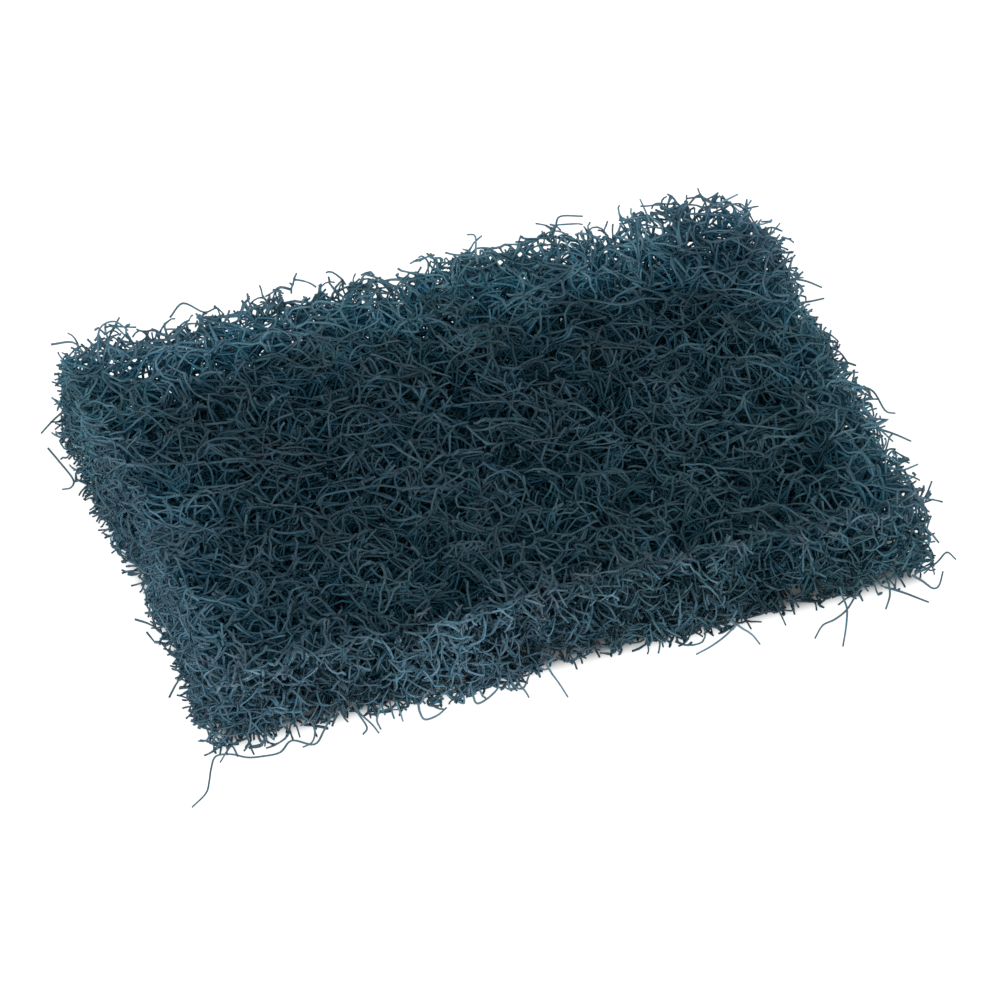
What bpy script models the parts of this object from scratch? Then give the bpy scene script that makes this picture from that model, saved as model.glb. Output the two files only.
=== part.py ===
"""Pot scrubber: a hand-sized scouring pad, one thick mat of coarse crimped fibres bonded where they cross.

The mat is one solid. Crimped strands wander over a dense middle and over one another, and grow together
where they touch. Loose ends stand out of the four cut edges, and one long loose fibre trails from the front
left corner.
Frame: metres, +Z up, +X along the pad and +Y across it. The origin is the middle of the underside, on the
plane that the pad lies on. A strand crosses it, and every strand that bears on that plane is flat.
"""

import math
import random

import bmesh
import bpy
from mathutils import Matrix, Vector

# The pad, measured over its strands and without the loose ends
PAD_LENGTH = 0.145
PAD_WIDTH = 0.100
PAD_THICKNESS = 0.020
CORNER_RADIUS = 0.0050

# The dense middle of the mat, below the open web of the skin
FACE_WEB_DEPTH = 0.0056
EDGE_WEB_DEPTH = 0.0058

# Strands: how thick they are, how far they run, how sharply they curl, and how many there are
STRAND_DIAMETER = 0.0024
STRAND_UNEVENNESS = 0.0008
STRAND_STEP = 0.0030
FACE_STRAND_STEPS = 7
EDGE_STRAND_STEPS = 5
LARGEST_TURN = math.radians(36)
TURN_CHANGE = math.radians(26)
SINK_POWER = 4  # the higher, the more suddenly a strand goes down at its ends
FACE_STRANDS = 150
EDGE_STRANDS = 70
BEARING_DEPTH = 0.0007

# Loose ends that stand out of the cut edges
LOOSE_ENDS = 56
LOOSE_END_STEPS = 4
LOOSE_END_STEP = 0.0015
LOOSE_END_DIAMETER = 0.0011
LOOSE_END_TURN = math.radians(34)
LEAST_LOOSE_END_TURN = math.radians(14)
LOOSE_END_SPREAD = 0.5
LOOSE_END_ZONE = 0.7  # the share of the thickness that they stand out of
TIP_TAPER = 0.45
LOOSE_END_CLEARANCE = 0.0010

# The long loose fibre: its route from the front left corner of the pad's underside
LONG_FIBRE_DIAMETER = 0.0010
LONG_FIBRE_ROOT_HEIGHT = 0.0030
LONG_FIBRE_ROUTE = (
    (-0.0009, -0.0013, 0.0026),
    (-0.0030, -0.0044, 0.0022),
    (-0.0042, -0.0078, 0.0017),
    (-0.0065, -0.0112, 0.0012),
    (-0.0105, -0.0143, 0.0008),
)

# How finely strands grow together, and how coarsely the skin is then modelled
GROWTH_GRAIN = 0.0008
MOST_FACES = 10300
FLAT_SNAP = 0.0004

UNPRESSED_THICKNESS = PAD_THICKNESS + BEARING_DEPTH
SEED = 21
MAT_COLOUR = (0.030, 0.066, 0.088, 1.0)
MAT_ROUGHNESS = 0.82
PLASTIC_NUMBER = 1.32471795724  # its powers spread points evenly over a plane
BEYOND_RIM = 1.05
FACING_OUT = 0.75  # the least cosine between a face's direction and the outward one


def clear_scene():
    for obj in list(bpy.data.objects):
        bpy.data.objects.remove(obj, do_unlink=True)


def skin_point(point):
    """The nearest point on the rounded skin of the unpressed pad, and the outward direction there."""
    inner = Vector((PAD_LENGTH, PAD_WIDTH, UNPRESSED_THICKNESS)) / 2 - Vector((CORNER_RADIUS,) * 3)
    nearest = Vector(max(-h, min(h, p)) for p, h in zip(point, inner))
    out = (point - nearest).normalized()
    return nearest + out * CORNER_RADIUS, out


def strand_walk(chance, crown, heading, steps):
    """Crimped steps over the skin from the crown of a strand to its end, which is sunk in the dense middle."""
    place, turn = crown, chance.uniform(-1, 1) * LARGEST_TURN
    for step in range(1, steps + 1):
        place, out = skin_point(place + heading * STRAND_STEP)
        turn = max(-LARGEST_TURN, min(LARGEST_TURN, turn + chance.uniform(-1, 1) * TURN_CHANGE))
        level = heading - out * heading.dot(out)
        heading = Matrix.Rotation(turn, 3, out) @ level.normalized()
        sunk = max(FACE_WEB_DEPTH, EDGE_WEB_DEPTH) * (step / steps) ** SINK_POWER
        yield place - out * (STRAND_DIAMETER / 2 + STRAND_UNEVENNESS * chance.random() + sunk)


def strand_route(chance, crown, steps):
    """A strand that rises to its crown and goes down again at both ends."""
    place, out = skin_point(crown)
    heading = out.orthogonal().normalized()
    heading.rotate(Matrix.Rotation(chance.uniform(0, 2 * math.pi), 3, out))
    back = list(strand_walk(chance, place, -heading, steps))
    ahead = list(strand_walk(chance, place, heading, steps))
    return [*reversed(back), place - out * STRAND_DIAMETER / 2, *ahead]


def face_routes(chance, side):
    """Strands with their crowns spread evenly over one face. The first crown is at its middle."""
    for index in range(FACE_STRANDS):
        x = math.remainder(index / PLASTIC_NUMBER, 1)
        y = math.remainder(index / PLASTIC_NUMBER ** 2, 1)
        crown = Vector((x * PAD_LENGTH, y * PAD_WIDTH, side * UNPRESSED_THICKNESS))
        yield strand_route(chance, crown, FACE_STRAND_STEPS)


def rim_point(share):
    """The point of the pad's rim that lies a given share of the way round it."""
    corners = [Vector((x * PAD_LENGTH, y * PAD_WIDTH, 0)) / 2 for x, y in ((-1, -1), (1, -1), (1, 1), (-1, 1))]
    way = share * 2 * (PAD_LENGTH + PAD_WIDTH)
    for start, end in zip(corners, corners[1:] + corners[:1]):
        if way <= (end - start).length:
            return start + (end - start).normalized() * way
        way -= (end - start).length
    return corners[0]


def edge_routes(chance):
    highest = (PAD_THICKNESS - STRAND_DIAMETER) / 2
    for index in range(EDGE_STRANDS):
        crown = rim_point(index / EDGE_STRANDS) * BEYOND_RIM
        crown.z = chance.uniform(-highest, highest)
        yield strand_route(chance, crown, EDGE_STRAND_STEPS)


def strands_mesh(routes):
    """Round strands along the given routes."""
    curve = bpy.data.curves.new("strands", "CURVE")
    curve.dimensions = "3D"
    curve.bevel_depth = STRAND_DIAMETER / 2
    curve.bevel_resolution = 1
    curve.use_fill_caps = True
    for route in routes:
        spline = curve.splines.new("POLY")
        spline.points.add(len(route) - 1)
        for point, place in zip(spline.points, route):
            point.co = (*place, 1)
    strands = bpy.data.objects.new("strands", curve)
    bpy.context.scene.collection.objects.link(strands)
    mesh = evaluated_mesh(strands)
    bpy.data.objects.remove(strands)
    return mesh


def evaluated_mesh(obj):
    graph = bpy.context.evaluated_depsgraph_get()
    return bpy.data.meshes.new_from_object(obj.evaluated_get(graph), depsgraph=graph)


def add_dense_middle(mesh):
    block = bmesh.new()
    block.from_mesh(mesh)
    corners = bmesh.ops.create_cube(block, size=2)["verts"]
    sides = (PAD_LENGTH / 2 - EDGE_WEB_DEPTH, PAD_WIDTH / 2 - EDGE_WEB_DEPTH)
    size = (*sides, UNPRESSED_THICKNESS / 2 - FACE_WEB_DEPTH)
    bmesh.ops.scale(block, vec=size, verts=corners)
    block.to_mesh(mesh)
    block.free()


def grow_together(pad):
    """Joins the strands and the dense middle where they touch."""
    growth = pad.modifiers.new("growth", "REMESH")
    growth.mode = "VOXEL"
    growth.voxel_size = GROWTH_GRAIN
    grown = evaluated_mesh(pad)
    pad.modifiers.clear()
    pad.data = grown


def press_flat(pad, snap):
    """Flattens the strands that bear on the plane the pad lies on."""
    for vert in pad.data.vertices:
        if vert.co.z < snap:
            vert.co.z = 0


def coarsen(pad):
    """Models the skin with fewer faces. Its edges are put in order first, so that each run does the same."""
    block = bmesh.new()
    block.from_mesh(pad.data)
    bmesh.ops.triangulate(block, faces=block.faces)
    count = len(block.verts)

    def edge_order(edge):
        first, second = edge.verts[0].index, edge.verts[1].index
        return min(first, second) * count + max(first, second)

    block.edges.sort(key=edge_order)
    block.to_mesh(pad.data)
    block.free()
    fewer = pad.modifiers.new("fewer_faces", "DECIMATE")
    fewer.ratio = min(1, MOST_FACES / len(pad.data.polygons))
    coarse = evaluated_mesh(pad)
    pad.modifiers.clear()
    pad.data = coarse


def shell_of(face):
    """All faces of the closed shell that a face belongs to."""
    shell, border = {face}, [face]
    while border:
        near = {other for edge in border.pop().edges for other in edge.link_faces} - shell
        shell |= near
        border.extend(near)
    return shell


def keep_outer_shell(block):
    """Fills the pockets that strands closed off, and drops what grew together with nothing."""
    left = set(block.faces)
    shells = []
    while left:
        shells.append(shell_of(next(iter(left))))
        left -= shells[-1]
    outer = max(shells, key=len)
    bmesh.ops.delete(block, geom=[f for f in block.faces if f not in outer], context="FACES")


def draw_out(block, root, route, diameter):
    """Draws a strand out of a face of the skin along a route, thinner towards its tip."""
    face = root
    heading = root.normal.copy()
    for step, place in enumerate(route):
        ring = bmesh.ops.extrude_discrete_faces(block, faces=[face])["faces"][0]
        centre = ring.calc_center_median()
        new_heading = (place - centre).normalized()
        turn = heading.rotation_difference(new_heading)
        radius = diameter / 2 * (1 - TIP_TAPER * step / len(route))
        for vert in ring.verts:
            side = vert.co - centre
            side.rotate(turn)
            side -= new_heading * side.dot(new_heading)
            vert.co = place + side.normalized() * radius
        face, heading = ring, new_heading


def loose_end_route(chance, root):
    """A curling route out of the skin from the middle of a face."""
    spread = Vector([chance.uniform(-LOOSE_END_SPREAD, LOOSE_END_SPREAD) for _ in range(3)])
    heading = (root.normal + spread).normalized()
    axis = heading.orthogonal().normalized()
    axis.rotate(Matrix.Rotation(chance.uniform(0, 2 * math.pi), 3, heading))
    bend = Matrix.Rotation(chance.uniform(LEAST_LOOSE_END_TURN, LOOSE_END_TURN), 3, axis)
    place = root.calc_center_median()
    for step in range(LOOSE_END_STEPS):
        place = place + heading * LOOSE_END_STEP
        place.z = max(LOOSE_END_CLEARANCE, min(PAD_THICKNESS, place.z))
        yield place.copy()
        heading = bend @ heading


def nearest_root(block, place, out):
    """The face nearest to a place, of those that face outwards."""
    facing = [face for face in block.faces if face.normal.dot(out) > FACING_OUT]
    return min(facing, key=lambda face: (face.calc_center_median() - place).length)


def draw_loose_ends(block, chance):
    middle = Vector((0, 0, PAD_THICKNESS / 2))
    highest = LOOSE_END_ZONE * PAD_THICKNESS / 2
    roots = set()
    for index in range(LOOSE_ENDS):
        place = rim_point((index + chance.random()) / LOOSE_ENDS) * BEYOND_RIM
        place.z = chance.uniform(-highest, highest)
        place, out = skin_point(place)
        roots.add(nearest_root(block, place + middle, out))
    for root in sorted(roots, key=lambda face: face.index):
        draw_out(block, root, list(loose_end_route(chance, root)), LOOSE_END_DIAMETER)


def draw_long_fibre(block):
    corner = Vector((-PAD_LENGTH / 2, -PAD_WIDTH / 2, 0))
    root = nearest_root(block, corner + Vector((0, 0, LONG_FIBRE_ROOT_HEIGHT)), Vector((-1, -1, 0)).normalized())
    draw_out(block, root, [corner + Vector(place) for place in LONG_FIBRE_ROUTE], LONG_FIBRE_DIAMETER)


def mat_material():
    material = bpy.data.materials.new("bonded_fibre_mat")
    material.use_nodes = True
    shader = material.node_tree.nodes["Principled BSDF"]
    shader.inputs["Base Color"].default_value = MAT_COLOUR
    shader.inputs["Roughness"].default_value = MAT_ROUGHNESS
    return material


def build_pad():
    chance = random.Random(SEED)
    routes = [*face_routes(chance, -1), *face_routes(chance, 1), *edge_routes(chance)]
    mesh = strands_mesh(routes)
    add_dense_middle(mesh)
    mesh.transform(Matrix.Translation((0, 0, PAD_THICKNESS - UNPRESSED_THICKNESS / 2)))
    pad = bpy.data.objects.new("scrubber_pad", mesh)
    bpy.context.scene.collection.objects.link(pad)
    grow_together(pad)
    press_flat(pad, 0)
    coarsen(pad)
    press_flat(pad, FLAT_SNAP)
    block = bmesh.new()
    block.from_mesh(pad.data)
    keep_outer_shell(block)
    block.faces.ensure_lookup_table()
    draw_loose_ends(block, chance)
    draw_long_fibre(block)
    bmesh.ops.triangulate(block, faces=block.faces)
    block.to_mesh(pad.data)
    block.free()
    pad.data.materials.clear()
    pad.data.materials.append(mat_material())
    return pad


clear_scene()
build_pad()
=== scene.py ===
"""Looks of the pot scrubber: a thick mat of coarse crimped fibres with a rough resin coat.

The fibres run through a sheet wider than the pad. They lie in clumps, stick together where they cross, and
are cut to the pad's outline, with their ends and loops matted down on the cut sides.
"""

import math

import bpy
import numpy as np
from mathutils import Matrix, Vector


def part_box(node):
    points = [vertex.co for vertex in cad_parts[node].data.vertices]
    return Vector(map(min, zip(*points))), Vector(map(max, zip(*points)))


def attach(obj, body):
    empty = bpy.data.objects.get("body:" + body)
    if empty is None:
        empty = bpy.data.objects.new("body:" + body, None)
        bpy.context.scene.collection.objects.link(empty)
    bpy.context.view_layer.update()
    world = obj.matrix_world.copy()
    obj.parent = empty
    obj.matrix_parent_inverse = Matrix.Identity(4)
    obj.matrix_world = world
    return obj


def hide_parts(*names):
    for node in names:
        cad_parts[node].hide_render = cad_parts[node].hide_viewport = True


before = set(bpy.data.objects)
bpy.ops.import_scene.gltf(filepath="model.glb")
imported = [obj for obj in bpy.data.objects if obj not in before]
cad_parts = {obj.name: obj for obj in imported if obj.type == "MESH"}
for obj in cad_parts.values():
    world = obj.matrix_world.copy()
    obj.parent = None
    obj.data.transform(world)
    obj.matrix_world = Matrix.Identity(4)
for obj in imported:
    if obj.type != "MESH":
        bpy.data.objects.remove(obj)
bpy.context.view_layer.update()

# The pad, measured over its web, whose fuzz stands above the solid's upper face
PAD_LENGTH = 0.1465
PAD_WIDTH = 0.1048
FUZZ = 0.0008
PAD_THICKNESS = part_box("scrubber_pad")[1].z + FUZZ
CORNER_RADIUS = 0.0050
NEXT_TO_NOTHING = 1e-9  # keeps a division from being one by zero

# The fibres and how they wander through the sheet
FIBRE_DIAMETER = 0.00042
FIBRE_SIDES = 3
FIBRE_LENGTH = 0.046
FIBRE_STEP = 0.0010
WEB_DENSITY = 0.73e6  # metres of fibre in a cubic metre of mat
TIGHTEST_CURL = 0.0020
WIDEST_CURL = 0.0070
STRAIGHT_SHARE = 0.18
STRAIGHT_CURL = 0.016
CRIMP_CHANCE = 0.16
KINK_CHANCE = 0.06
KINK = 0.7
TWIST = 0.25
LAYERING = 0.75  # how much the web is flattened into layers

# Short ends of cut fibres in the four cut sides
CUT_ENDS = 8500
CUT_END_TRIES = 8  # places tried for each end that is wanted
CUT_END_DEPTH = 0.0040
CUT_END_STEPS = 6
SHORTEST_CUT_END = 3
CUT_END_SPREAD = 0.75
CUT_END_REACH = (0.0000, 0.0024)
CUT_END_THICKNESS = 0.82
BACK_END_SHARE = 0.45  # the back is less frayed
FACING_BACK = 0.5  # how squarely a cut side faces back to count as the back

# How the sheet is clumped, pressed at its faces and cut
SHEET_MARGIN = 0.0060
CLUMP_WAVES = 9
CLUMP_SHORTEST = 0.0060
CLUMP_LONGEST = 0.0150
CLUMP_REACH = 0.00042
OPEN_CELLS = 900
CELL_REACH = (0.0024, 0.0040)
CELL_POWER = 0.35  # the lower, the emptier a cell
CELL_CORE = 0.02  # nearer to a cell's middle than this, the push grows no stronger
FACE_UNEVENNESS = 0.0009
UNDERSIDE_UNEVENNESS = 0.0003
FACE_GIVE = 0.0008
FACE_LOOPS = (0.0003, 0.0016)
CUT_UNEVENNESS = 0.0007
CUT_WAVER = 0.0003
CUT_GIVE = 0.0010
CUT_LOOPS = (0.0002, 0.0018)
SHORTEST_PIECE = 5
SHEET_SEED = 7

# How far each cut side lies outside the even outline, at even steps from left to right or front to back
BACK_CUT = (
    0.0017, 0.0022, 0.0009, -0.0008, 0.0023, 0.0028, 0.0022, 0.0009, 0.0018, 0.0022, 0.0014, 0.0015,
    0.0018, 0.0016, 0.0014)
FRONT_CUT = (
    0.0015, 0.0017, 0.0002, 0.0004, 0.0024, 0.0024, 0.0004, -0.0003, -0.0005, 0.0001, -0.0004, -0.0016,
    -0.0013, -0.0004, -0.0010)
LEFT_CUT = (
    0.0016, 0.0014, -0.0003, -0.0006, -0.0000, -0.0009, -0.0014, -0.0000, 0.0002, 0.0004, 0.0003, 0.0002,
    -0.0012)
RIGHT_CUT = (
    0.0021, -0.0009, -0.0016, -0.0014, -0.0001, -0.0010, -0.0006, 0.0004, -0.0005, 0.0008, 0.0021, 0.0000,
    0.0008)

# Where fibres stick together
BOND_REACH = 0.0008
BOND_PULL = 0.75
BOND_SWELL = (1.15, 1.75)
UNEVEN_THICKNESS = (0.84, 1.14)

# How far a point may lie off the line between its neighbours before the fibre needs it, by depth in the mat
EASING_DEPTHS = (0.0015, 0.0030, 0.0060)
EASING = (0.00005, 0.00020, 0.00100)
EASING_ROUNDS = 3

# The strips of the pattern map, one for each fibre, with gaps in shares of the map's width
STRIP_ROWS = 140
STRIP_GAP = 0.0010
STRIP_FILL = 0.86
STRIP_HEIGHT = 0.86

# Routes of the loose ends that are seen on the side of the camera, each with its thickness at the root
LOOSE_ENDS = (
    (((-0.0508, -0.0552, 0.0060), (-0.0531, -0.0573, 0.0042),
      (-0.0557, -0.0592, 0.0030), (-0.0592, -0.0563, 0.0026), (-0.0622, -0.0583, 0.0022),
      (-0.0656, -0.0578, 0.0018), (-0.0683, -0.0568, 0.0015), (-0.0708, -0.0546, 0.0012),
      (-0.0736, -0.0540, 0.0010), (-0.0754, -0.0567, 0.0008), (-0.0768, -0.0598, 0.0006),
      (-0.0784, -0.0627, 0.0005), (-0.0820, -0.0654, 0.0004)), 0.00044),
    (((-0.0698, -0.0558, 0.0014), (-0.0702, -0.0529, 0.0016), (-0.0733, -0.0557, 0.0008)), 0.00040),
    (((0.0582, -0.0530, 0.0045), (0.0567, -0.0536, 0.0034), (0.0537, -0.0561, 0.0022),
      (0.0507, -0.0573, 0.0015), (0.0481, -0.0576, 0.0010), (0.0455, -0.0601, 0.0005)), 0.00046),
    (((0.0540, -0.0515, 0.0040), (0.0539, -0.0534, 0.0030), (0.0536, -0.0563, 0.0024),
      (0.0519, -0.0601, 0.0014), (0.0497, -0.0641, 0.0005)), 0.00046),
    (((0.0633, -0.0536, 0.0040), (0.0629, -0.0553, 0.0024), (0.0613, -0.0573, 0.0010)), 0.00046),
    (((0.0682, -0.0547, 0.0060), (0.0712, -0.0536, 0.0055), (0.0740, -0.0520, 0.0050),
      (0.0769, -0.0499, 0.0050), (0.0787, -0.0503, 0.0030)), 0.00046),
    (((0.0682, -0.0534, 0.0045), (0.0699, -0.0548, 0.0036), (0.0715, -0.0561, 0.0024),
      (0.0731, -0.0555, 0.0022), (0.0749, -0.0530, 0.0032)), 0.00046),
    (((0.0641, -0.0540, 0.0026), (0.0663, -0.0551, 0.0018), (0.0685, -0.0565, 0.0010),
      (0.0701, -0.0578, 0.0006)), 0.00046),
    (((0.0313, -0.0545, 0.0034), (0.0287, -0.0555, 0.0022), (0.0255, -0.0565, 0.0014),
      (0.0222, -0.0571, 0.0008)), 0.00046),
    (((0.0310, -0.0522, 0.0034), (0.0324, -0.0543, 0.0024), (0.0340, -0.0561, 0.0016),
      (0.0348, -0.0585, 0.0008)), 0.00046),
    (((0.0401, -0.0498, 0.0036), (0.0411, -0.0518, 0.0024), (0.0414, -0.0552, 0.0010)), 0.00046),
    (((0.0704, -0.0101, 0.0190), (0.0727, -0.0117, 0.0186), (0.0757, -0.0134, 0.0176),
      (0.0765, -0.0179, 0.0160), (0.0785, -0.0183, 0.0150)), 0.00046),
    (((0.0724, -0.0252, 0.0180), (0.0751, -0.0265, 0.0170), (0.0782, -0.0273, 0.0150)), 0.00046),
    (((0.0686, -0.0387, 0.0185), (0.0719, -0.0383, 0.0180), (0.0758, -0.0365, 0.0170)), 0.00046),
    (((0.0706, -0.0493, 0.0180), (0.0733, -0.0468, 0.0180), (0.0757, -0.0438, 0.0185)), 0.00046),
    (((0.0733, 0.0241, 0.0185), (0.0762, 0.0233, 0.0176), (0.0791, 0.0223, 0.0160)), 0.00046),
    (((0.0718, 0.0169, 0.0180), (0.0747, 0.0173, 0.0174), (0.0779, 0.0182, 0.0166)), 0.00046),
    (((0.0714, 0.0358, 0.0190), (0.0743, 0.0383, 0.0190), (0.0773, 0.0410, 0.0190)), 0.00046),
    (((0.0623, 0.0527, 0.0195), (0.0645, 0.0532, 0.0206), (0.0660, 0.0504, 0.0202),
      (0.0687, 0.0490, 0.0200), (0.0720, 0.0484, 0.0198), (0.0727, 0.0435, 0.0186)), 0.00046),
    (((0.0668, 0.0497, 0.0200), (0.0697, 0.0505, 0.0202), (0.0721, 0.0511, 0.0204)), 0.00046),
    (((0.0320, 0.0510, 0.0195), (0.0339, 0.0539, 0.0202), (0.0356, 0.0559, 0.0208),
      (0.0401, 0.0549, 0.0204)), 0.00046),
    (((0.0154, 0.0487, 0.0195), (0.0160, 0.0515, 0.0200), (0.0173, 0.0556, 0.0208),
      (0.0160, 0.0569, 0.0206)), 0.00046),
    (((0.0524, 0.0491, 0.0196), (0.0527, 0.0523, 0.0200), (0.0528, 0.0560, 0.0206)), 0.00046),
    (((-0.0478, 0.0531, 0.0194), (-0.0444, 0.0553, 0.0204), (-0.0413, 0.0514, 0.0202),
      (-0.0386, 0.0518, 0.0202), (-0.0376, 0.0499, 0.0198)), 0.00046),
    (((-0.0652, 0.0439, 0.0194), (-0.0646, 0.0472, 0.0200), (-0.0624, 0.0528, 0.0208),
      (-0.0591, 0.0539, 0.0208), (-0.0571, 0.0512, 0.0200)), 0.00046),
    (((-0.0723, 0.0538, 0.0186), (-0.0683, 0.0520, 0.0194), (-0.0672, 0.0476, 0.0194)), 0.00046),
    (((-0.0720, 0.0460, 0.0080), (-0.0748, 0.0459, 0.0060), (-0.0775, 0.0456, 0.0036)), 0.00046),
    (((-0.0771, 0.0424, 0.0022), (-0.0761, 0.0382, 0.0018), (-0.0752, 0.0318, 0.0020),
      (-0.0762, 0.0300, 0.0016), (-0.0778, 0.0307, 0.0010)), 0.00046),
    (((-0.0767, -0.0135, 0.0030), (-0.0748, -0.0157, 0.0032), (-0.0731, -0.0187, 0.0034)), 0.00046),
    (((-0.0754, -0.0168, 0.0020), (-0.0749, -0.0203, 0.0022)), 0.00046),
    (((-0.0768, -0.0351, 0.0010), (-0.0743, -0.0330, 0.0026), (-0.0722, -0.0330, 0.0040)), 0.00046),
    (((-0.0743, -0.0451, 0.0008), (-0.0725, -0.0446, 0.0016), (-0.0704, -0.0446, 0.0030)), 0.00046),
    (((-0.0458, -0.0522, 0.0050), (-0.0452, -0.0541, 0.0034), (-0.0443, -0.0565, 0.0016),
      (-0.0454, -0.0573, 0.0008)), 0.00046),
    (((-0.0455, -0.0524, 0.0046), (-0.0448, -0.0540, 0.0032), (-0.0432, -0.0562, 0.0018),
      (-0.0424, -0.0580, 0.0008)), 0.00046),
    (((-0.0405, -0.0537, 0.0042), (-0.0415, -0.0548, 0.0026), (-0.0420, -0.0557, 0.0018),
      (-0.0417, -0.0571, 0.0008)), 0.00046),
    (((-0.0376, -0.0541, 0.0042), (-0.0373, -0.0554, 0.0026), (-0.0371, -0.0566, 0.0010)), 0.00046),
    (((-0.0337, -0.0556, 0.0038), (-0.0338, -0.0569, 0.0026), (-0.0332, -0.0581, 0.0016),
      (-0.0307, -0.0580, 0.0018), (-0.0286, -0.0575, 0.0028)), 0.00046),
    (((-0.0228, -0.0544, 0.0046), (-0.0228, -0.0559, 0.0030), (-0.0224, -0.0571, 0.0016),
      (-0.0200, -0.0566, 0.0018), (-0.0175, -0.0554, 0.0028), (-0.0173, -0.0541, 0.0042)), 0.00046),
    (((-0.0145, -0.0525, 0.0046), (-0.0146, -0.0539, 0.0032), (-0.0141, -0.0554, 0.0020),
      (-0.0128, -0.0562, 0.0018), (-0.0113, -0.0549, 0.0028), (-0.0105, -0.0538, 0.0040)), 0.00046),
    (((-0.0132, -0.0556, 0.0022), (-0.0125, -0.0567, 0.0014), (-0.0122, -0.0580, 0.0008)), 0.00046),
    (((-0.0072, -0.0537, 0.0044), (-0.0066, -0.0553, 0.0030), (-0.0058, -0.0572, 0.0018),
      (-0.0051, -0.0602, 0.0006)), 0.00046),
    (((-0.0487, -0.0526, 0.0032), (-0.0495, -0.0529, 0.0022), (-0.0503, -0.0536, 0.0012)), 0.00060),
    (((-0.0557, -0.0527, 0.0044), (-0.0543, -0.0538, 0.0034), (-0.0543, -0.0554, 0.0024),
      (-0.0554, -0.0568, 0.0014), (-0.0573, -0.0570, 0.0009)), 0.00046),
)
ROUTE_POINTS = 5
TIP = 0.7
LOOSE_END_SIDES = 6

# The mesh
CLOSING = 1e-6
WEB_PIECES = 5

# The coat: its colours, and how they change with depth as painted shade, along the cut sides as painted
# light, on the front ridge as painted highlight, between fibres and over them
# The greyer skin colours and the darker, fuller deep colour are lit and shaded copies of one coat: the turn
# to the deep colour with depth is painted shade. The deep colour is also the colour of the resin patches.
SKIN_BLUE = (0.057, 0.105, 0.140, 1)
SKIN_GREEN = (0.052, 0.108, 0.134, 1)
SHADE_AND_RESIN_COLOUR = (0.022, 0.106, 0.158, 1)
GRIT_COLOUR = (0.082, 0.126, 0.154, 1)
# Painted highlight, in patches on the top of the front ridge
HIGHLIGHT_COLOUR = (0.150, 0.205, 0.260, 1)
LOOSE_BLUE = (0.058, 0.096, 0.116, 1)
LOOSE_GREEN = (0.055, 0.098, 0.113, 1)
# Depths over which the painted shade comes in
SHADE_DEPTH_BETWEEN = (0.0006, 0.0050)
TINT_RANGE = (0.78, 1.26)
CLUMP_RANGE = (0.86, 1.16)
RESIN_SHARE = 0.45
GRIT_SHARE = 0.30

# Painted light on the cut sides, which are lighter by how far in a place lies, give or take a wander, and
# patches of painted highlight on the front ridge
END_LIGHT_BETWEEN = (-0.0010, 0.0200)
FRONT_LIGHT_BETWEEN = (-0.0025, 0.0020)
BACK_LIGHT_BETWEEN = (0.0000, 0.0300)
RIM_WANDER = 0.036
RIM_WANDER_SIZE = 0.009
# How much brighter the painted light makes the cut sides
RIM_LIGHT_LIFT = 2.65
END_SHARE = 0.66
FRONT_SHARE = 0.86
# Where on the front ridge the patches of painted highlight lie, how big they are and how strong
RIDGE_BETWEEN = (0.0040, 0.0100)
RIDGE_HEIGHT_BETWEEN = (0.0130, 0.0180)
RIDGE_PATCH_SIZE = 0.0050
RIDGE_PATCHES = (0.50, 0.62)
RIDGE_HIGHLIGHT_SHARE = 0.45

# Noise, which lies about its middle, and the coat's patterns: size, detail, and where each starts and is full
NOISE_MIDDLE = 0.5
PLAIN_DETAIL = 2.0
COAT_PATTERNS = {
    "Grit": (0.00040, PLAIN_DETAIL, (0.42, 0.66)),
    "Resin": (0.0022, 3.0, (0.46, 0.62)),
    "Clumps": (0.011, PLAIN_DETAIL, (0.34, 0.66)),
    "Drift": (0.045, PLAIN_DETAIL, (0.35, 0.65)),
}
ROUGH_TO_RESIN = (0.88, 0.60)
RESIN_FILL = 0.5
GRIT_HEIGHT = 0.00006
COAT_SPECULAR = 0.11

# The floor, which is dark below the pad, where no light gets in
FLOOR_SIZE = 6
FLOOR_COLOUR = (0.8, 0.8, 0.8, 1)
FLOOR_ROUGHNESS = 0.9
FLOOR_GLOW = 0.76
FLOOR_LIT_BETWEEN = (-0.0045, 0.0)

# Studio light: a sky that is brighter low down, and one large softbox
WHITE = (1, 1, 1, 1)
SKY_AT_HORIZON = 1.15
SKY_OVERHEAD = 0.25
SOFTBOX_POWER = 7
SOFTBOX_SIZE = 0.9
SOFTBOX_PLACE = Vector((-0.6, -1.1, 0.75))

# Camera, fitted to the corners of the pad in the photograph, whose frame is 1000 by 1000 pixels
VIEW_AZIMUTH = math.radians(-19.7)
VIEW_ELEVATION = math.radians(40.1)
VIEW_DISTANCE = 1.452
VIEW_RIGHT = 0.00254
VIEW_DOWN = 0.00750
SENSOR_WIDTH = 36.0
FOCAL_PIXELS = 7420.0
PHOTO_PIXELS = 1000.0
CLIP_SPAN = 100


def unit(vectors):
    return vectors / np.linalg.norm(vectors, axis=-1, keepdims=True)


def square_to(heading, vectors):
    """The parts of vectors that are square to the headings, at unit length."""
    return unit(vectors - heading * np.sum(vectors * heading, axis=-1, keepdims=True))


def curl_of(chance, count):
    """How sharply each of a number of fibres curls, as one over a radius. Some run nearly straight."""
    radius = chance.uniform(TIGHTEST_CURL, WIDEST_CURL, count)
    radius[chance.random(count) < STRAIGHT_SHARE] = STRAIGHT_CURL
    return 1 / radius[:, None]


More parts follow.
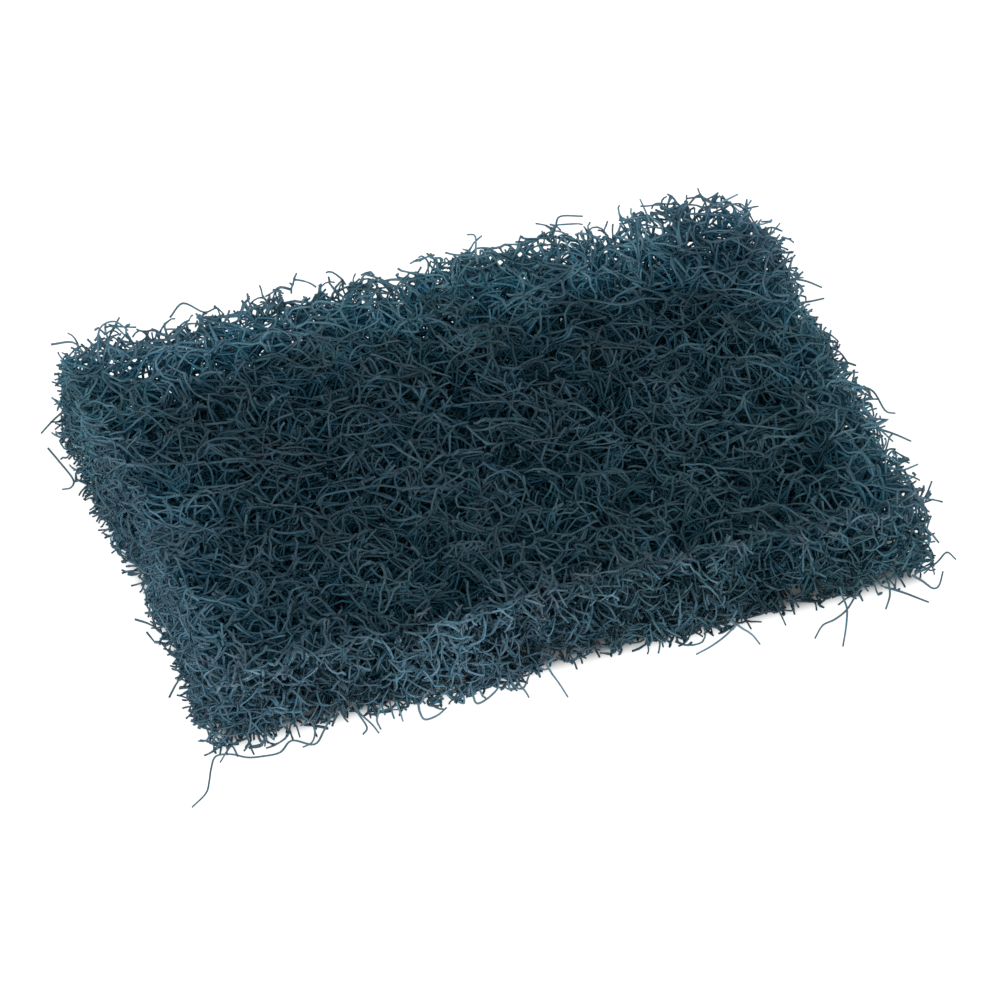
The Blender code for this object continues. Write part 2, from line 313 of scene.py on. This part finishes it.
def crimped_walks(chance, starts, heading, steps):
    """Points along fibres that start at the given places, curl, crimp and now and then kink."""
    count = len(starts)
    heading = unit(heading)
    side = square_to(heading, chance.normal(size=(count, 3)))
    curl = curl_of(chance, count)
    place = starts.copy()
    walks = [place.copy()]
    for _ in range(steps):
        crimped = chance.random(count) < CRIMP_CHANCE
        side[crimped] = chance.normal(size=(crimped.sum(), 3))
        curl[crimped] = curl_of(chance, crimped.sum())
        side = square_to(heading, side + chance.normal(0, TWIST, (count, 3)))
        heading = heading + side * curl * FIBRE_STEP
        kinked = chance.random(count) < KINK_CHANCE
        heading[kinked] += chance.normal(0, KINK, (kinked.sum(), 3))
        heading = unit(heading)
        place = place + heading * FIBRE_STEP
        walks.append(place.copy())
    return np.stack(walks, axis=1)


def clumped(points, chance):
    """Points drawn together along random waves, which leaves open places between the clumps."""
    for _ in range(CLUMP_WAVES):
        way = unit(chance.normal(size=3))
        length = chance.uniform(CLUMP_SHORTEST, CLUMP_LONGEST)
        phase = chance.uniform(0, 2 * math.pi)
        points = points + way * (CLUMP_REACH * np.sin(points @ way * 2 * math.pi / length + phase))[..., None]
    return points


def opened(points, chance):
    """Points pushed out of round open cells in the sheet, so that the fibres run around them."""
    flat = points.reshape(-1, 3)
    order = np.argsort(flat[:, 0])
    lined, fixed = flat[order], flat[order, 0]
    spread = np.abs(flat).max(axis=0)
    for _ in range(OPEN_CELLS):
        middle, reach = chance.uniform(-spread, spread), chance.uniform(*CELL_REACH)
        first, last = np.searchsorted(fixed, (middle[0] - reach, middle[0] + reach))
        away = lined[first:last] - middle
        near = np.linalg.norm(away, axis=1, keepdims=True) / reach
        lined[first:last] += away * (np.clip(near, CELL_CORE, 1) ** (CELL_POWER - 1) - 1)
    flat[order] = lined
    return flat.reshape(points.shape)


def pressed_back(past, give):
    """How far points that were this far past a limit still lie past it, once the web is matted down."""
    return give * (1 - np.exp(-np.maximum(past, 0) / give))


def past_outline(points):
    """How far each point lies outside the pad's outline, seen from above, and which way is out."""
    inner = np.array((PAD_LENGTH, PAD_WIDTH)) / 2 - CORNER_RADIUS
    past = points[..., :2] - np.clip(points[..., :2], -inner, inner)
    reach = np.linalg.norm(past, axis=-1, keepdims=True)
    return reach[..., 0] - CORNER_RADIUS, past / np.maximum(reach, NEXT_TO_NOTHING)


def past_cut(points, chance):
    """How far each point lies outside the uneven cut of the pad's sides, and which way is out."""
    past, out = past_outline(points)
    across, along = out[..., 0], out[..., 1]

    def cut(place, length, low, high, way):
        steps = np.linspace(-length / 2, length / 2, len(low))
        return np.where(way < 0, np.interp(place, steps, low), np.interp(place, steps, high))

    reach = cut(points[..., 1], PAD_WIDTH, LEFT_CUT, RIGHT_CUT, across) * across ** 2
    reach += cut(points[..., 0], PAD_LENGTH, FRONT_CUT, BACK_CUT, along) * along ** 2
    for _ in range(CLUMP_WAVES):
        way = unit(chance.normal(size=3))
        length = chance.uniform(CLUMP_LONGEST, 2 * CLUMP_LONGEST)
        wave = np.sin(points @ way * 2 * math.pi / length + chance.uniform(0, 2 * math.pi))
        reach += wave * CUT_WAVER / math.sqrt(CLUMP_WAVES)
    return past - reach, out


def web_fibres(chance):
    """The fibres of the web: a thicker and wider sheet of them, matted down at the faces and cut."""
    sheet = np.array((PAD_LENGTH, PAD_WIDTH, PAD_THICKNESS)) + 2 * SHEET_MARGIN
    count = round(WEB_DENSITY * sheet.prod() / FIBRE_LENGTH)
    starts = (chance.random((count, 3)) - 0.5) * sheet / (1, 1, LAYERING)
    walks = crimped_walks(chance, starts, chance.normal(size=starts.shape), round(FIBRE_LENGTH / FIBRE_STEP))
    walks *= (1, 1, LAYERING)
    walks = (walks + sheet / 2) % sheet - sheet / 2
    walks = opened(clumped(walks, chance), chance)

    level = np.abs(walks[..., 2])
    unevenness = np.where(walks[..., 2] < 0, UNDERSIDE_UNEVENNESS, FACE_UNEVENNESS)
    limit = PAD_THICKNESS / 2 - FACE_GIVE - np.abs(chance.normal(size=count))[:, None] * unevenness
    kept = level - limit < chance.uniform(*FACE_LOOPS, count)[:, None]
    level = np.minimum(level, limit) + pressed_back(level - limit, FACE_GIVE)
    walks[..., 2] = np.sign(walks[..., 2]) * level + PAD_THICKNESS / 2

    past, out = past_cut(walks, chance)
    limit = -CUT_GIVE - np.abs(chance.normal(0, CUT_UNEVENNESS, count))[:, None]
    kept &= past - limit < chance.uniform(*CUT_LOOPS, count)[:, None]
    drawn_in = np.maximum(past - limit, 0) - pressed_back(past - limit, CUT_GIVE)
    walks[..., :2] -= out * drawn_in[..., None]
    walks[..., 2] = np.maximum(walks[..., 2], FIBRE_DIAMETER)

    return runs_of(walks, kept, SHORTEST_PIECE)


def runs_of(walks, kept, shortest):
    """The runs of points along each walk that are kept."""
    runs = []
    for walk, inside in zip(walks, kept):
        ends = np.flatnonzero(np.diff(np.concatenate(([0], inside, [0]))))
        runs += [walk[a:b] for a, b in zip(ends[::2], ends[1::2]) if b - a >= shortest]
    return runs


def cut_ends(chance):
    """Short ends of cut fibres, which start a little way in and curl out of the four cut sides."""
    sheet = np.array((PAD_LENGTH, PAD_WIDTH, PAD_THICKNESS)) + (2 * SHEET_MARGIN, 2 * SHEET_MARGIN, 0)
    starts = (chance.random((CUT_ENDS * CUT_END_TRIES, 3)) - 0.5) * sheet
    past, out = past_cut(starts, chance)
    frayed = chance.random(len(starts)) < np.where(out[:, 1] > FACING_BACK, BACK_END_SHARE, 1)
    at_cut = np.flatnonzero((past > -CUT_END_DEPTH) & (past < 0) & frayed)[:CUT_ENDS]
    starts = starts[at_cut]
    heading = np.column_stack((out[at_cut], np.zeros(len(starts))))
    heading = heading + chance.normal(0, CUT_END_SPREAD, starts.shape)
    walks = crimped_walks(chance, starts, heading, CUT_END_STEPS)
    past = past_cut(walks, chance)[0]
    kept = past < chance.uniform(*CUT_END_REACH, len(walks))[:, None]
    highest = PAD_THICKNESS / 2 - FIBRE_DIAMETER
    walks[..., 2] = np.clip(walks[..., 2], -highest, highest) + PAD_THICKNESS / 2
    return runs_of(walks, kept, SHORTEST_CUT_END)


def bonded(fibres, chance, thin):
    """The fibres pulled together where they cross, with each one's thickness, which swells at the bonds.

    The last ones, as many as thin says, are thinner.
    """
    points = np.concatenate(fibres)
    cells = np.unique(np.floor(points / BOND_REACH).astype(int), axis=0, return_inverse=True)[1].ravel()
    shared = np.bincount(cells)
    middles = np.stack([np.bincount(cells, points[:, axis]) for axis in range(3)], axis=1) / shared[:, None]
    stuck = shared[cells] > 1
    points[stuck] += (middles[cells[stuck]] - points[stuck]) * BOND_PULL
    thickness = chance.uniform(*UNEVEN_THICKNESS, len(points))
    thickness[stuck] = chance.uniform(*BOND_SWELL, stuck.sum())
    owner = np.repeat(np.arange(len(fibres)), [len(fibre) for fibre in fibres])
    thickness[owner >= len(fibres) - thin] *= CUT_END_THICKNESS
    hangs = held_together(owner, cells)
    cuts = np.cumsum([len(fibre) for fibre in fibres])[:-1]
    whole = np.split(np.column_stack((points, thickness)), cuts)
    return [fibre for fibre, kept in zip(whole, hangs) if kept]


def held_together(owner, cells):
    """For each fibre, whether it hangs together with the rest through the cells that fibres share."""
    groups = np.arange(owner.max() + 1)
    while True:
        nearest = np.full(cells.max() + 1, len(groups))
        np.minimum.at(nearest, cells, groups[owner])
        joined = groups.copy()
        np.minimum.at(joined, owner, nearest[cells])
        if (joined == groups).all():
            return groups == np.bincount(groups).argmax()
        groups = joined


def eased(fibre):
    """A fibre without the points that its shape can spare, which are more of them the deeper it lies."""
    for _ in range(EASING_ROUNDS):
        to_face = np.minimum(fibre[:, 2], PAD_THICKNESS - fibre[:, 2])
        depth = np.minimum(-past_outline(fibre[:, :3])[0], to_face)
        off = np.linalg.norm(fibre[1:-1, :3] - (fibre[:-2, :3] + fibre[2:, :3]) / 2, axis=1)
        spared = off < np.interp(depth[1:-1], EASING_DEPTHS, EASING)
        spared[1::2] = False
        fibre = fibre[~np.concatenate(([False], spared, [False]))]
    return fibre


def fibre_section(sides):
    """The round section of a fibre, as wide on average as a fibre looks."""
    section = bpy.data.curves.new("fibre_section", "CURVE")
    spline = section.splines.new("POLY")
    spline.points.add(sides - 1)
    spline.use_cyclic_u = True
    radius = FIBRE_DIAMETER * math.pi / (2 * sides * math.sin(math.pi / sides))
    for index, point in enumerate(spline.points):
        angle = 2 * math.pi * index / sides
        point.co = (math.cos(angle) * radius, math.sin(angle) * radius, 0, 1)
    shape = bpy.data.objects.new("fibre_section", section)
    bpy.context.scene.collection.objects.link(shape)
    return shape


def fibre_mesh(name, fibres, sides, chance):
    """One mesh of fibres, each a closed tube with a tint and a strip of the pattern map of its own."""
    curve = bpy.data.curves.new(name, "CURVE")
    curve.dimensions = "3D"
    curve.bevel_mode = "OBJECT"
    curve.bevel_object = fibre_section(sides)
    curve.use_fill_caps = True
    for fibre in fibres:
        spline = curve.splines.new("POLY")
        spline.points.add(len(fibre) - 1)
        spline.points.foreach_set("co", np.column_stack((fibre[:, :3], np.ones(len(fibre)))).ravel())
        spline.points.foreach_set("radius", fibre[:, 3])
        spline.use_smooth = True
    piece = bpy.data.objects.new(name, curve)
    bpy.context.scene.collection.objects.link(piece)
    bpy.ops.object.select_all(action="DESELECT")
    bpy.context.view_layer.objects.active = piece
    piece.select_set(True)
    bpy.ops.object.convert(target="MESH")
    bpy.data.objects.remove(curve.bevel_object)
    piece = bpy.context.view_layer.objects.active
    lay_strips(piece.data, fibres, sides)
    tint_fibres(piece.data, fibres, sides, chance)
    bpy.ops.object.mode_set(mode="EDIT")
    bpy.ops.mesh.select_all(action="SELECT")
    bpy.ops.mesh.remove_doubles(threshold=CLOSING)
    bpy.ops.object.mode_set(mode="OBJECT")
    return piece


def lay_strips(mesh, fibres, sides):
    """Gives each fibre's side and its two ends their own strip of the pattern map, row by row."""
    lengths = np.array([np.linalg.norm(np.diff(fibre[:, :3], axis=0), axis=1).sum() for fibre in fibres])
    width = lengths.sum() / STRIP_ROWS / STRIP_FILL
    end, gap = 2 * STRIP_GAP * width, STRIP_GAP * width
    starts, rows, along, row = [], [], 0, 0
    for length in lengths:
        if along + length + 2 * end + gap > width:
            along, row = 0, row + 1
        starts.append(along)
        rows.append(row)
        along += length + 2 * end + gap
    starts, rows, height = np.array(starts), np.array(rows), 1 / (row + 1)

    strips = mesh.uv_layers.active
    strips.name = "OFBake"
    laid = np.empty(len(mesh.loops) * 2)
    strips.data.foreach_get("uv", laid)
    laid = laid.reshape(-1, 2)
    end_loops = 3 * (sides - 2)
    ends = len(fibres) * 2 * end_loops
    number = np.arange(len(fibres))
    owner = np.concatenate((np.repeat(number[::-1], 2 * end_loops),
                            np.repeat(number, [(len(fibre) - 1) * sides * 4 for fibre in fibres])))
    corner = laid[:ends, 0] * 2 * math.pi * (sides - 1) / sides
    far = np.arange(ends) // end_loops % 2 == 0
    laid[ends:, 0] = end + laid[ends:, 0] * lengths[owner[ends:]]
    laid[:ends, 0] = (1 + np.cos(corner)) * end / 2 * STRIP_HEIGHT + far * (end + lengths[owner[:ends]])
    laid[:ends, 1] = (1 + np.sin(corner)) / 2
    laid[:, 0] = (laid[:, 0] + starts[owner]) / width
    laid[:, 1] = (laid[:, 1] * STRIP_HEIGHT + rows[owner]) * height
    strips.data.foreach_set("uv", laid.ravel())


def tint_fibres(mesh, fibres, sides, chance):
    """Writes each fibre's own tint on its faces."""
    tints = chance.random(len(fibres))
    tint = mesh.attributes.new("tint", "FLOAT", "FACE")
    faces = [(len(fibre) - 1) * sides for fibre in fibres]
    values = np.concatenate((np.repeat(tints[::-1], 2 * (sides - 2)), np.repeat(tints, faces)))
    tint.data.foreach_set("value", values)


def smooth_route(places):
    """Closely spaced points on a smooth line through the given places."""
    places = np.array(places)
    before = np.concatenate((places[:1] * 2 - places[1:2], places[:-1]))
    after = np.concatenate((places[1:], places[-1:] * 2 - places[-2:-1]))
    slope = (after - before) / 2
    share = np.linspace(0, 1, ROUTE_POINTS, endpoint=False)[:, None]
    legs = [start * (1 + 2 * share) * (1 - share) ** 2 + way * share * (1 - share) ** 2
            + stop * share ** 2 * (3 - 2 * share) - bend * share ** 2 * (1 - share)
            for start, stop, way, bend in zip(places, places[1:], slope, slope[1:])]
    return np.concatenate((*legs, places[-1:]))


def loose_ends(web):
    """The loose ends that hang out of the mat, thinner towards their tips and joined to the nearest fibre."""
    places = np.concatenate(web)[:, :3]
    ends = []
    for route, thickness in LOOSE_ENDS:
        line = smooth_route(route)
        apart = np.linalg.norm(line[:, None] - places, axis=2)
        nearest, bond = np.unravel_index(apart.argmin(), apart.shape)
        root = np.stack((line[nearest], places[bond]))
        for part, tip in ((line, TIP), (root, 1)):
            widths = np.linspace(thickness, thickness * tip, len(part))
            ends.append(np.column_stack((part, widths / FIBRE_DIAMETER)))
    return ends


def add_node(tree, kind, inputs=(), **settings):
    """A node with its settings, and its inputs set to a value or joined to a socket."""
    node = tree.nodes.new(kind)
    for name, value in settings.items():
        setattr(node, name, value)
    for name, value in dict(inputs).items():
        if isinstance(value, bpy.types.NodeSocket):
            tree.links.new(value, node.inputs[name])
        else:
            node.inputs[name].default_value = value
    return node


def calculate(tree, operation, *values):
    return add_node(tree, "ShaderNodeMath", enumerate(values), operation=operation).outputs[0]


def ranged(tree, value, low, high, to_low=0.0, to_high=1.0):
    """A value that rises softly from one number to another."""
    inputs = {"Value": value, "From Min": low, "From Max": high, "To Min": to_low, "To Max": to_high}
    return add_node(tree, "ShaderNodeMapRange", inputs, interpolation_type="SMOOTHSTEP").outputs[0]


def mixed(tree, share, first, second):
    node = add_node(tree, "ShaderNodeMix", {0: share, 6: first, 7: second}, data_type="RGBA")
    return node.outputs[2]


def noise(tree, place, size, detail=PLAIN_DETAIL):
    """Noise with features of about the given size."""
    inputs = {"Vector": place, "Scale": 1 / size, "Detail": detail}
    return add_node(tree, "ShaderNodeTexNoise", inputs).outputs["Fac"]


def new_group(name, inputs, outputs):
    """An empty node group, with its input and output sockets."""
    group = bpy.data.node_groups.new(name, "ShaderNodeTree")
    for in_out, sockets in (("INPUT", inputs), ("OUTPUT", outputs)):
        for socket, kind in sockets.items():
            group.interface.new_socket(socket, in_out=in_out, socket_type="NodeSocket" + kind)
    return group, add_node(group, "NodeGroupInput").outputs, add_node(group, "NodeGroupOutput").inputs


def place_in_mat():
    """Masks of how deep a place lies in the mat, for painted shade, how near a cut side it is, for painted
    light, and where the ridge has patches of painted highlight.
    """
    group, given, put_out = new_group("place_in_mat", {"Place": "Vector"},
                                      {"Depth Shade": "Float", "Rim Light": "Float", "Ridge Highlight": "Float"})
    apart = add_node(group, "ShaderNodeSeparateXYZ", {0: given["Place"]}).outputs
    to_end = calculate(group, "SUBTRACT", PAD_LENGTH / 2, calculate(group, "ABSOLUTE", apart["X"]))
    to_front = calculate(group, "ADD", PAD_WIDTH / 2, apart["Y"])
    to_back = calculate(group, "SUBTRACT", PAD_WIDTH / 2, apart["Y"])
    to_cut = calculate(group, "MINIMUM", to_end, calculate(group, "MINIMUM", to_front, to_back))
    to_face = calculate(group, "MINIMUM", apart["Z"], calculate(group, "SUBTRACT", PAD_THICKNESS, apart["Z"]))
    depth = calculate(group, "MINIMUM", to_cut, to_face)
    # Painted shade: the deeper a place lies in the mat, the more it takes the darker, fuller deep colour
    group.links.new(ranged(group, depth, *SHADE_DEPTH_BETWEEN), put_out["Depth Shade"])
    wander = calculate(group, "SUBTRACT", noise(group, given["Place"], RIM_WANDER_SIZE), NOISE_MIDDLE)
    to_end = calculate(group, "MULTIPLY_ADD", wander, RIM_WANDER, to_end)
    to_back = calculate(group, "MULTIPLY_ADD", wander, RIM_WANDER, to_back)
    # Painted light: the ends, the front and the back are made lighter towards their cut sides
    at_end = ranged(group, to_end, *END_LIGHT_BETWEEN, END_SHARE, 0.0)
    at_front = ranged(group, to_front, *FRONT_LIGHT_BETWEEN, FRONT_SHARE, 0.0)
    at_back = ranged(group, to_back, *BACK_LIGHT_BETWEEN, 1.0, 0.0)
    rim = calculate(group, "MAXIMUM", at_end, calculate(group, "MAXIMUM", at_front, at_back))
    group.links.new(rim, put_out["Rim Light"])
    # Painted highlight: pale patches on the top of the front ridge
    near_front = ranged(group, to_front, *RIDGE_BETWEEN, 1.0, 0.0)
    near_top = ranged(group, apart["Z"], *RIDGE_HEIGHT_BETWEEN)
    patches = ranged(group, noise(group, given["Place"], RIDGE_PATCH_SIZE), *RIDGE_PATCHES)
    ridge = calculate(group, "MULTIPLY", calculate(group, "MULTIPLY", near_front, near_top), patches)
    group.links.new(ridge, put_out["Ridge Highlight"])
    return group


def coat_mottle():
    """The grit of the coat, its patches of resin and the paler and darker clumps of the web."""
    outputs = dict.fromkeys(COAT_PATTERNS, "Float")
    group, given, put_out = new_group("coat_mottle", {"Place": "Vector"}, outputs)
    for name, (size, detail, between) in COAT_PATTERNS.items():
        group.links.new(ranged(group, noise(group, given["Place"], size, detail), *between), put_out[name])
    return group


def fibre_colour():
    """The colour of a coated fibre: darker and fuller inside the mat as painted shade, with the greyer skin
    colour as its lit copy, and paler at the cut sides and in patches on the front ridge as painted light and
    painted highlight.
    """
    colours = ("Skin Blue", "Skin Green", "Shade And Resin Colour", "Grit Colour", "Highlight Colour")
    masks = ("Depth Shade", "Rim Light", "Ridge Highlight", "Tint", *COAT_PATTERNS)
    inputs = {**dict.fromkeys(colours, "Color"), **dict.fromkeys(masks, "Float")}
    group, given, put_out = new_group("fibre_colour", inputs, {"Colour": "Color"})
    skin_colour = mixed(group, given["Drift"], given["Skin Blue"], given["Skin Green"])
    # Painted shade: deeper fibres turn to the darker, fuller deep colour
    colour = mixed(group, given["Depth Shade"], skin_colour, given["Shade And Resin Colour"])
    # Resin and grit are the coat's own; the pale colour on the ridge is painted highlight
    for mask, share, over in (("Resin", RESIN_SHARE, "Shade And Resin Colour"), ("Grit", GRIT_SHARE, "Grit Colour"),
                              ("Ridge Highlight", RIDGE_HIGHLIGHT_SHARE, "Highlight Colour")):
        colour = mixed(group, calculate(group, "MULTIPLY", given[mask], share), colour, given[over])
    level = calculate(group, "MULTIPLY", ranged(group, given["Tint"], 0.0, 1.0, *TINT_RANGE),
                      ranged(group, given["Clumps"], 0.0, 1.0, *CLUMP_RANGE))
    # Painted light: the cut sides are brightened
    lift = calculate(group, "MULTIPLY_ADD", given["Rim Light"], RIM_LIGHT_LIFT - 1, 1.0)
    level = calculate(group, "MULTIPLY", level, lift)
    shaded = add_node(group, "ShaderNodeVectorMath", {0: colour, "Scale": level}, operation="SCALE")
    group.links.new(shaded.outputs[0], put_out["Colour"])
    return group


def coat_surface():
    """How rough the coat is, and its height: grit stands proud, and resin lies smoother over it."""
    group, given, put_out = new_group("coat_surface", {"Grit": "Float", "Resin": "Float"},
                                      {"Roughness": "Float", "Height": "Float"})
    rough = ranged(group, given["Resin"], 0.0, 1.0, *ROUGH_TO_RESIN)
    group.links.new(rough, put_out["Roughness"])
    filled = calculate(group, "MULTIPLY", given["Resin"], RESIN_FILL)
    group.links.new(calculate(group, "SUBTRACT", given["Grit"], filled), put_out["Height"])
    return group


def fibre_material(name, groups, skin_blue, skin_green):
    """A coated fibre, from the shared node groups and its own colours."""
    material = bpy.data.materials.new(name)
    material.use_nodes = True
    tree = material.node_tree
    shader = tree.nodes["Principled BSDF"]

    def grouped(name, inputs):
        return add_node(tree, "ShaderNodeGroup", inputs, node_tree=groups[name]).outputs

    place = add_node(tree, "ShaderNodeTexCoord").outputs["Object"]
    tint = add_node(tree, "ShaderNodeAttribute", attribute_name="tint").outputs["Fac"]
    lies = grouped("place_in_mat", {"Place": place})
    coat = grouped("coat_mottle", {"Place": place})
    colour = grouped("fibre_colour", {
        "Skin Blue": skin_blue, "Skin Green": skin_green, "Shade And Resin Colour": SHADE_AND_RESIN_COLOUR,
        "Grit Colour": GRIT_COLOUR, "Highlight Colour": HIGHLIGHT_COLOUR, "Tint": tint,
        **{mask.name: mask for mask in (*lies, *coat)}})
    surface = grouped("coat_surface", {"Grit": coat["Grit"], "Resin": coat["Resin"]})
    grain = {"Height": surface["Height"], "Distance": GRIT_HEIGHT, "Strength": 1.0}
    bump = add_node(tree, "ShaderNodeBump", grain)
    tree.links.new(colour["Colour"], shader.inputs["Base Color"])
    tree.links.new(surface["Roughness"], shader.inputs["Roughness"])
    tree.links.new(bump.outputs[0], shader.inputs["Normal"])
    shader.inputs["Specular IOR Level"].default_value = COAT_SPECULAR
    return material


def view_axes():
    """The directions to the camera, to its right and upwards in its view."""
    back = Vector((math.sin(VIEW_AZIMUTH) * math.cos(VIEW_ELEVATION),
                   -math.cos(VIEW_AZIMUTH) * math.cos(VIEW_ELEVATION), math.sin(VIEW_ELEVATION)))
    right = Vector((math.cos(VIEW_AZIMUTH), math.sin(VIEW_AZIMUTH), 0))
    return back, right, back.cross(right)


def add_camera():
    back, right, up = view_axes()
    aim = Vector((0, 0, PAD_THICKNESS / 2)) + right * VIEW_RIGHT - up * VIEW_DOWN
    lens = bpy.data.cameras.new("camera")
    lens.sensor_width = SENSOR_WIDTH
    lens.lens = FOCAL_PIXELS / PHOTO_PIXELS * SENSOR_WIDTH
    lens.clip_start = VIEW_DISTANCE / CLIP_SPAN
    lens.clip_end = VIEW_DISTANCE * CLIP_SPAN
    camera = bpy.data.objects.new("camera", lens)
    bpy.context.scene.collection.objects.link(camera)
    camera.location = aim + back * VIEW_DISTANCE
    camera.rotation_mode = "QUATERNION"
    camera.rotation_quaternion = (-back).to_track_quat("-Z", "Y")
    bpy.context.scene.camera = camera


def add_floor():
    """A pale floor, white to the eye except below the pad, where no light gets in."""
    bpy.ops.mesh.primitive_plane_add(size=FLOOR_SIZE)
    floor = bpy.context.view_layer.objects.active
    floor.name = "floor"
    material = bpy.data.materials.new("pale_floor")
    material.use_nodes = True
    tree = material.node_tree
    shader = tree.nodes["Principled BSDF"]
    shader.inputs["Base Color"].default_value = FLOOR_COLOUR
    shader.inputs["Roughness"].default_value = FLOOR_ROUGHNESS
    place = add_node(tree, "ShaderNodeTexCoord").outputs["Object"]
    apart = add_node(tree, "ShaderNodeSeparateXYZ", {0: place}).outputs
    past_end = calculate(tree, "SUBTRACT", calculate(tree, "ABSOLUTE", apart["X"]), PAD_LENGTH / 2)
    past_side = calculate(tree, "SUBTRACT", calculate(tree, "ABSOLUTE", apart["Y"]), PAD_WIDTH / 2)
    lit = ranged(tree, calculate(tree, "MAXIMUM", past_end, past_side), *FLOOR_LIT_BETWEEN)
    path = add_node(tree, "ShaderNodeLightPath").outputs
    seen = calculate(tree, "MAXIMUM", path["Is Camera Ray"], path["Is Glossy Ray"])
    seen = calculate(tree, "MAXIMUM", seen, path["Is Transmission Ray"])
    glow = calculate(tree, "MULTIPLY", calculate(tree, "MULTIPLY", seen, lit), FLOOR_GLOW)
    shader.inputs["Emission Color"].default_value = WHITE
    tree.links.new(glow, shader.inputs["Emission Strength"])
    floor.data.materials.append(material)


def add_light():
    """Soft light from all round, brighter low down, and a softbox in front and to the left."""
    world = bpy.data.worlds.new("studio")
    world.use_nodes = True
    tree = world.node_tree
    way = add_node(tree, "ShaderNodeTexCoord").outputs["Generated"]
    height = add_node(tree, "ShaderNodeSeparateXYZ", {0: way}).outputs["Z"]
    inputs = {"Value": height, "To Min": SKY_AT_HORIZON, "To Max": SKY_OVERHEAD}
    strength = add_node(tree, "ShaderNodeMapRange", inputs).outputs[0]
    background = tree.nodes["Background"]
    background.inputs["Color"].default_value = WHITE
    tree.links.new(strength, background.inputs["Strength"])
    bpy.context.scene.world = world
    lamp = bpy.data.lights.new("softbox", "AREA")
    lamp.energy = SOFTBOX_POWER
    lamp.size = SOFTBOX_SIZE
    softbox = bpy.data.objects.new("softbox", lamp)
    bpy.context.scene.collection.objects.link(softbox)
    softbox.location = SOFTBOX_PLACE
    softbox.rotation_mode = "QUATERNION"
    softbox.rotation_quaternion = (-SOFTBOX_PLACE).to_track_quat("-Z", "Y")


def dress_pad():
    """The web, in pieces from left to right with about as many points in each, and the loose ends."""
    chance = np.random.default_rng(SHEET_SEED)
    ends = cut_ends(chance)
    fibres = [eased(fibre) for fibre in bonded(web_fibres(chance) + ends, chance, len(ends))]
    fibres.sort(key=lambda fibre: fibre[:, 0].mean())
    groups = {make.__name__: make() for make in (place_in_mat, coat_mottle, fibre_colour, coat_surface)}
    coated = fibre_material("coated_fibre", groups, SKIN_BLUE, SKIN_GREEN)
    loose = fibre_material("loose_fibre", groups, LOOSE_BLUE, LOOSE_GREEN)
    points = np.cumsum([len(fibre) for fibre in fibres])
    cuts = np.searchsorted(points, np.arange(1, WEB_PIECES) * points[-1] / WEB_PIECES)
    for index, (first, last) in enumerate(zip((0, *cuts), (*cuts, len(fibres)))):
        piece = fibre_mesh(f"web_{index + 1}", fibres[first:last], FIBRE_SIDES, chance)
        finish(piece, coated)
    finish(fibre_mesh("loose_ends", loose_ends(fibres), LOOSE_END_SIDES, chance), loose)


def finish(piece, material):
    """Gives a piece its material, and puts it in the place of the solid."""
    piece.data.materials.clear()
    piece.data.materials.append(material)
    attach(piece, "root")
    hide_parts("scrubber_pad")


dress_pad()
add_floor()
add_light()
add_camera()
bpy.context.scene.view_settings.view_transform = "Standard"
